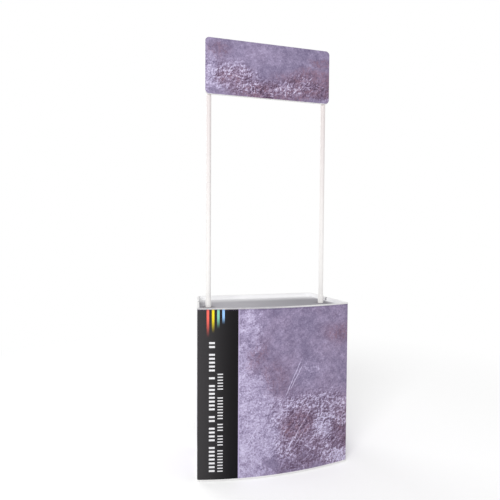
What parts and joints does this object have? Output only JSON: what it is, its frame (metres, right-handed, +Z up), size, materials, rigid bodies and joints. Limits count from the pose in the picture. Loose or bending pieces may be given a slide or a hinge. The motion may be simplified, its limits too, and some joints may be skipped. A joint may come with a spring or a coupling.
{
  "type": "exhibition counter",
  "caption": "Portable sampling counter: bow-fronted wrap-round panel, white tray worktop, inner shelf, and two poles carrying a header board above",
  "frame": {"origin": "on the floor under the middle of the counter's footprint", "axes": "+Z up, +Y from the bowed printed front to the open back, +X to the right seen from the front"},
  "size_m": [0.7972, 0.451, 2.2046],
  "materials": {
    "white_moulding": "white moulded plastic, satin with a fine moulded grain",
    "grey_moulding": "light grey moulded plastic, matt",
    "printed_panel": "plastic sheet printed with a lilac and mauve worn-plaster pattern, satin laminate",
    "shelf_board": "board with white laminate and white edging",
    "aluminium": "satin anodised",
    "white_tube": "warm white plastic tube, semi-gloss",
    "hook_tape": "white hook-and-loop tape",
    "rubber": "matt black rubber",
    "steel_screw": "zinc-plated steel"
  },
  "bodies": {
    "base": {"base_tray": "white_moulding", "rubber_foot_1": "rubber", "rubber_foot_2": "rubber", "rubber_foot_3": "rubber", "rubber_foot_4": "rubber", "rubber_foot_5": "rubber", "rubber_foot_6": "rubber", "front_left_upright": "aluminium", "front_left_rail_screw": "steel_screw", "front_right_upright": "aluminium", "front_right_rail_screw": "steel_screw", "rear_left_upright": "aluminium", "rear_left_rail_screw": "steel_screw", "rear_right_upright": "aluminium", "rear_right_rail_screw": "steel_screw", "wrap_panel": "printed_panel", "left_edge_profile": "white_moulding", "right_edge_profile": "white_moulding", "left_shelf_rail": "aluminium", "right_shelf_rail": "aluminium", "base_hook_strip": "hook_tape", "base_loop_strip": "hook_tape", "worktop_loop_strip": "hook_tape"},
    "shelf": {"storage_shelf": "shelf_board"},
    "worktop": {"worktop_tray": "white_moulding", "worktop_underpan": "grey_moulding", "left_pole_socket": "white_tube", "right_pole_socket": "white_tube", "worktop_hook_strip": "hook_tape", "underpan_screw_1": "steel_screw", "underpan_screw_2": "steel_screw", "underpan_screw_3": "steel_screw", "underpan_screw_4": "steel_screw", "underpan_screw_5": "steel_screw", "underpan_screw_6": "steel_screw"},
    "left_lower_pole_body": {"left_lower_pole": "white_tube", "left_pole_ferrule": "aluminium"},
    "right_lower_pole_body": {"right_lower_pole": "white_tube", "right_pole_ferrule": "aluminium"},
    "left_upper_pole_body": {"left_upper_pole": "white_tube", "left_pole_cap": "grey_moulding"},
    "right_upper_pole_body": {"right_upper_pole": "white_tube", "right_pole_cap": "grey_moulding"},
    "header": {"header_board": "white_moulding", "header_graphic": "printed_panel", "left_upper_header_clip": "grey_moulding", "left_upper_clip_top_screw": "steel_screw", "left_upper_clip_bottom_screw": "steel_screw", "left_lower_header_clip": "grey_moulding", "left_lower_clip_top_screw": "steel_screw", "left_lower_clip_bottom_screw": "steel_screw", "right_upper_header_clip": "grey_moulding", "right_upper_clip_top_screw": "steel_screw", "right_upper_clip_bottom_screw": "steel_screw", "right_lower_header_clip": "grey_moulding", "right_lower_clip_top_screw": "steel_screw", "right_lower_clip_bottom_screw": "steel_screw"}
  },
  "joints": [
    {"name": "shelf_slide", "type": "slide", "parent": "base", "child": "shelf", "axis": [0, 1, 0], "range_m": [0, 0.35]},
    {"name": "worktop_lift", "type": "slide", "parent": "base", "child": "worktop", "axis": [0, 0, 1], "range_m": [0, 0.12]},
    {"name": "left_lower_pole_lift", "type": "slide", "parent": "worktop", "child": "left_lower_pole_body", "axis": [0, 0, 1], "range_m": [0, 0.1]},
    {"name": "right_lower_pole_lift", "type": "slide", "parent": "worktop", "child": "right_lower_pole_body", "axis": [0, 0, 1], "range_m": [0, 0.1]},
    {"name": "left_upper_pole_lift", "type": "slide", "parent": "left_lower_pole_body", "child": "left_upper_pole_body", "axis": [0, 0, 1], "range_m": [0, 0.07]},
    {"name": "right_upper_pole_lift", "type": "slide", "parent": "right_lower_pole_body", "child": "right_upper_pole_body", "axis": [0, 0, 1], "range_m": [0, 0.07]},
    {"name": "header_lift", "type": "slide", "parent": "left_upper_pole_body", "child": "header", "axis": [0, 0, 1], "range_m": [0, 0.24]}
  ],
  "couplings": [
    {"joint": "right_lower_pole_lift", "follows": "left_lower_pole_lift", "ratio": 1},
    {"joint": "right_upper_pole_lift", "follows": "left_upper_pole_lift", "ratio": 1}
  ]
}
